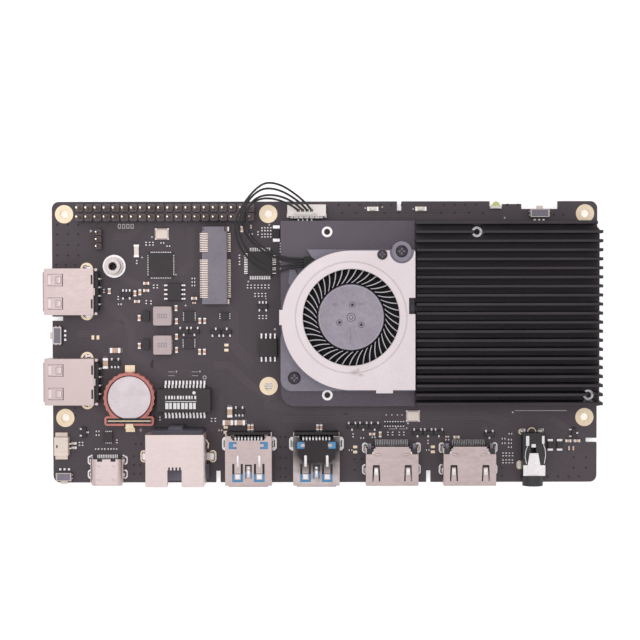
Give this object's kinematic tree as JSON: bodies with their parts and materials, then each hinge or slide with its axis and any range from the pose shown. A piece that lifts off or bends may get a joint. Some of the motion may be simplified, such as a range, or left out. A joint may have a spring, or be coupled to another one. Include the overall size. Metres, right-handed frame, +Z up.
{
  "type": "single board computer",
  "caption": "Rectangular single board computer: edge connectors on two sides, a pin header, a coin cell, and a finned heatsink with a small blower.",
  "frame": {"origin": "centre of the outer four mounting holes, on the underside of the board", "axes": "+X along the board's length towards the heatsink, +Y across it towards the pin header, +Z up out of the component side"},
  "size_m": [0.1565, 0.0856, 0.018],
  "materials": {
    "board_laminate": "matte black solder mask on glass-epoxy laminate",
    "black_plastic": "moulded, fine matte",
    "dark_grey_plastic": "moulded, fine matte",
    "grey_plastic": "moulded, matte",
    "white_plastic": "moulded nylon, slight sheen",
    "blue_plastic": "moulded, slight sheen",
    "salmon_plastic": "moulded, matte",
    "fan_grey_plastic": "moulded, matte",
    "impeller_plastic": "moulded, satin",
    "gold_plating": "gold plated",
    "tin_plating": "tin plated, satin",
    "shell_steel": "nickel plated sheet, satin",
    "cover_steel": "pale sheet steel, satin",
    "cell_steel": "nickel plated, finely brushed",
    "shaft_steel": "ground",
    "bearing_brass": "turned",
    "copper_windings": "enamelled copper on laminations",
    "ferrite": "sintered",
    "inductor_ferrite": "pressed iron powder, matte grey",
    "black_screws": "black zinc",
    "black_anodised": "black anodised, satin",
    "thermal_rubber": "soft, matte",
    "black_rubber": "matte",
    "wire_sleeve": "PVC sleeve, slight sheen",
    "chip_epoxy": "moulded epoxy, fine matte",
    "capacitor_ceramic": "ceramic body with tinned ends",
    "resistor_ceramic": "ceramic body with tinned ends",
    "crystal_lid": "ceramic with a plated lid",
    "led_resin": "clear resin on white"
  },
  "bodies": {
    "board": {"audio_jack_body": "black_plastic", "audio_jack_springs": "shell_steel", "button_frames": "dark_grey_plastic", "chip_capacitors": "capacitor_ceramic", "chip_leads": "tin_plating", "chip_resistors": "resistor_ceramic", "chips": "chip_epoxy", "circuit_board": "board_laminate", "coin_cell": "cell_steel", "coin_cell_contacts": "gold_plating", "coin_cell_holder": "salmon_plastic", "crystals": "crystal_lid", "debug_header_base": "black_plastic", "fan_bearing": "bearing_brass", "fan_cover": "cover_steel", "fan_header": "white_plastic", "fan_housing": "fan_grey_plastic", "fan_plug": "white_plastic", "fan_screws": "black_screws", "fan_stator": "copper_windings", "fan_wire_1": "wire_sleeve", "fan_wire_2": "wire_sleeve", "fan_wire_3": "wire_sleeve", "fan_wire_4": "wire_sleeve", "fan_wire_seal": "black_rubber", "gpio_header_base": "black_plastic", "hdmi_cores": "black_plastic", "hdmi_port_1_shell": "shell_steel", "hdmi_port_2_shell": "shell_steel", "header_pins": "gold_plating", "heatsink": "black_anodised", "heatsink_bushes": "tin_plating", "heatsink_screws": "shaft_steel", "m2_socket_body": "grey_plastic", "m2_socket_contacts": "gold_plating", "m2_standoff": "tin_plating", "memory_chips": "chip_epoxy", "network_jack_core": "dark_grey_plastic", "network_jack_shell": "shell_steel", "network_transformer": "chip_epoxy", "port_contacts": "gold_plating", "power_header": "white_plastic", "power_inductors": "inductor_ferrite", "processor": "chip_epoxy", "status_leds": "led_resin", "thermal_pads": "thermal_rubber", "usb2_cores": "black_plastic", "usb2_port_1_shell": "shell_steel", "usb2_port_2_shell": "shell_steel", "usb3_cores": "blue_plastic", "usb3_port_1_shell": "shell_steel", "usb3_port_2_shell": "shell_steel", "usb_c_core": "black_plastic", "usb_c_shell": "shell_steel"},
    "fan_rotor": {"fan_impeller": "impeller_plastic", "fan_rotor_magnet": "ferrite", "fan_shaft": "shaft_steel"},
    "left_button": {"left_button": "white_plastic"},
    "corner_button": {"corner_button": "white_plastic"},
    "edge_button": {"edge_button": "white_plastic"}
  },
  "joints": [
    {"name": "fan_spin", "type": "hinge", "parent": "board", "child": "fan_rotor", "pos_m": [0.0073, -0.0001, 0.0101], "axis": [0, 0, 1], "continuous": true},
    {"name": "left_button_press", "type": "slide", "parent": "board", "child": "left_button", "axis": [1, 0, 0], "range_m": [0, 0.00025], "stiffness_N_per_m": 800, "springref_m": -0.0003},
    {"name": "corner_button_press", "type": "slide", "parent": "board", "child": "corner_button", "axis": [0, 1, 0], "range_m": [0, 0.00025], "stiffness_N_per_m": 800, "springref_m": -0.0003},
    {"name": "edge_button_press", "type": "slide", "parent": "board", "child": "edge_button", "axis": [0, -1, 0], "range_m": [0, 0.00025], "stiffness_N_per_m": 800, "springref_m": -0.0003}
  ]
}
